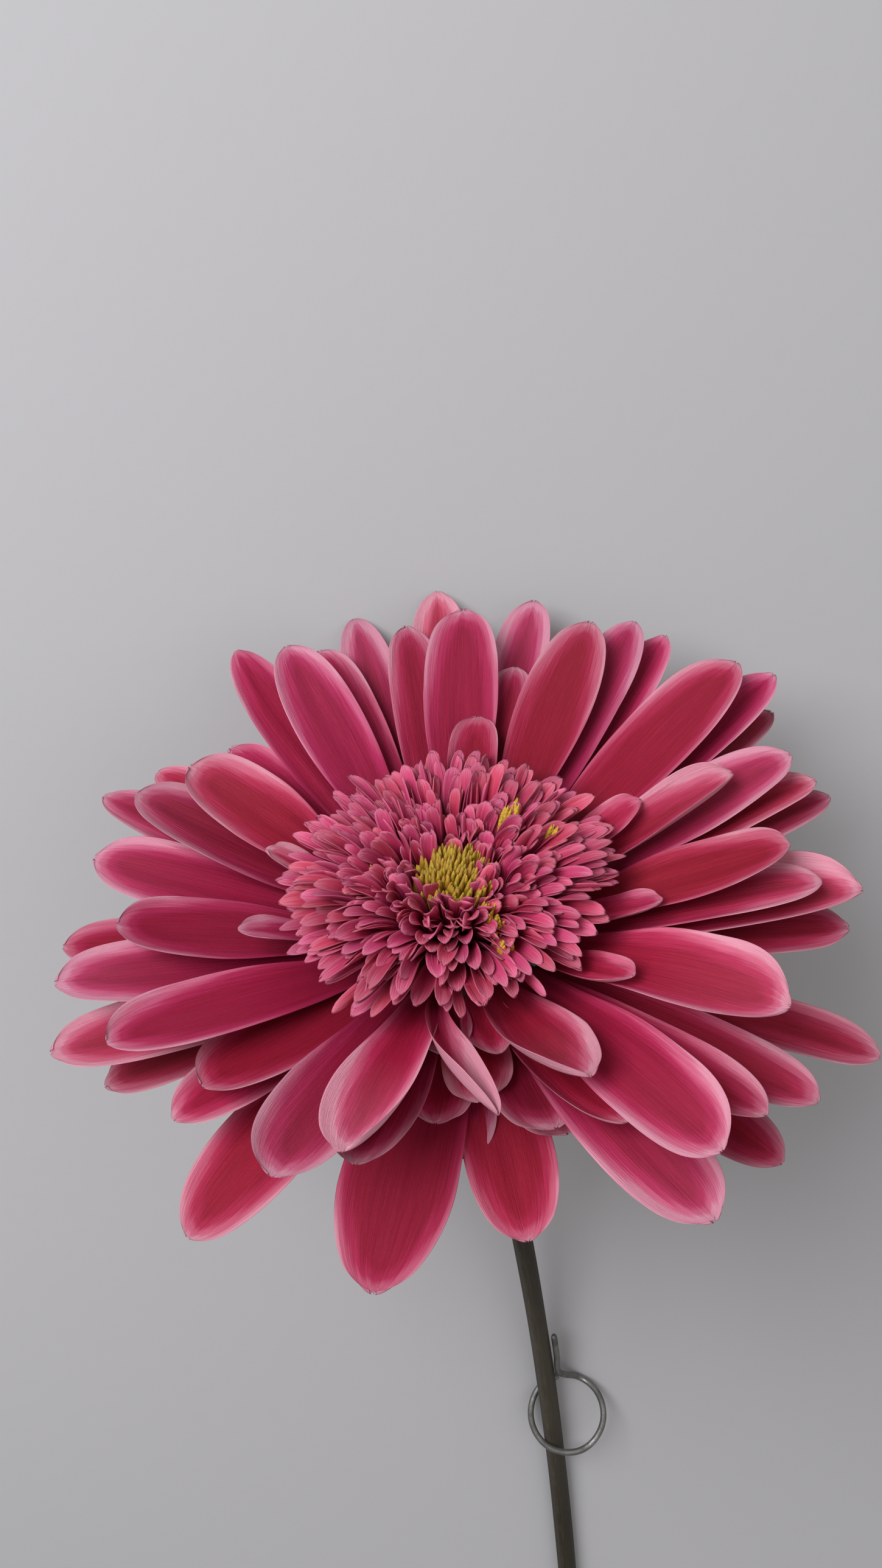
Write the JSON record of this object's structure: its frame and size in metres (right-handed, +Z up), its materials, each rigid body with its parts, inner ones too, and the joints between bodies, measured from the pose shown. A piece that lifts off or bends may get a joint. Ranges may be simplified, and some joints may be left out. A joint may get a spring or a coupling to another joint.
{
  "type": "cut flower",
  "caption": "Cut gerbera lying down: a leafless stem that arches up to a pink head of ray petals round a ruffed disc, with a loose wire ring round the stem.",
  "frame": {"origin": "on the surface, under the middle of the flower's bounding box", "axes": "+Z up from the surface; the stem runs towards -Y and the head is at +Y; +X to the right seen with +Y ahead"},
  "size_m": [0.1098, 0.3344, 0.09],
  "materials": {
    "petal": "soft petal, crimson core with paler pink edge",
    "floret": "soft pink florets with pale tips",
    "disc_centre": "matt yellow-olive buds",
    "bract": "matt green with brown tips",
    "stem": "satin dark olive brown",
    "wire": "dull bare wire"
  },
  "bodies": {
    "root": {"disc_centre": "disc_centre", "disc_florets_inner": "floret", "disc_florets_outer": "floret", "involucre": "bract", "ray_petal_1_01": "petal", "ray_petal_1_02": "petal", "ray_petal_1_03": "petal", "ray_petal_1_04": "petal", "ray_petal_1_05": "petal", "ray_petal_1_06": "petal", "ray_petal_2_01": "petal", "ray_petal_2_02": "petal", "ray_petal_2_03": "petal", "ray_petal_2_04": "petal", "ray_petal_2_05": "petal", "ray_petal_2_06": "petal", "ray_petal_2_07": "petal", "ray_petal_2_08": "petal", "ray_petal_2_09": "petal", "ray_petal_3_01": "petal", "ray_petal_3_02": "petal", "ray_petal_3_03": "petal", "ray_petal_3_04": "petal", "ray_petal_3_05": "petal", "ray_petal_3_06": "petal", "ray_petal_3_07": "petal", "ray_petal_3_08": "petal", "ray_petal_3_09": "petal", "ray_petal_3_10": "petal", "ray_petal_3_11": "petal", "ray_petal_3_12": "petal", "ray_petal_4_01": "petal", "ray_petal_4_02": "petal", "ray_petal_4_03": "petal", "ray_petal_4_04": "petal", "ray_petal_4_05": "petal", "ray_petal_4_06": "petal", "ray_petal_4_07": "petal", "ray_petal_4_08": "petal", "ray_petal_4_09": "petal", "ray_petal_4_10": "petal", "ray_petal_4_11": "petal", "ray_petal_4_12": "petal", "ray_petal_5_01": "petal", "ray_petal_5_02": "petal", "ray_petal_5_03": "petal", "ray_petal_5_04": "petal", "ray_petal_5_05": "petal", "ray_petal_5_06": "petal", "ray_petal_5_07": "petal", "ray_petal_5_08": "petal", "ray_petal_5_09": "petal", "ray_petal_6_01": "petal", "ray_petal_6_02": "petal", "ray_petal_6_03": "petal", "ray_petal_6_04": "petal", "ray_petal_6_05": "petal", "receptacle": "bract", "stem": "stem", "wire_ring": "wire"}
  },
  "joints": []
}
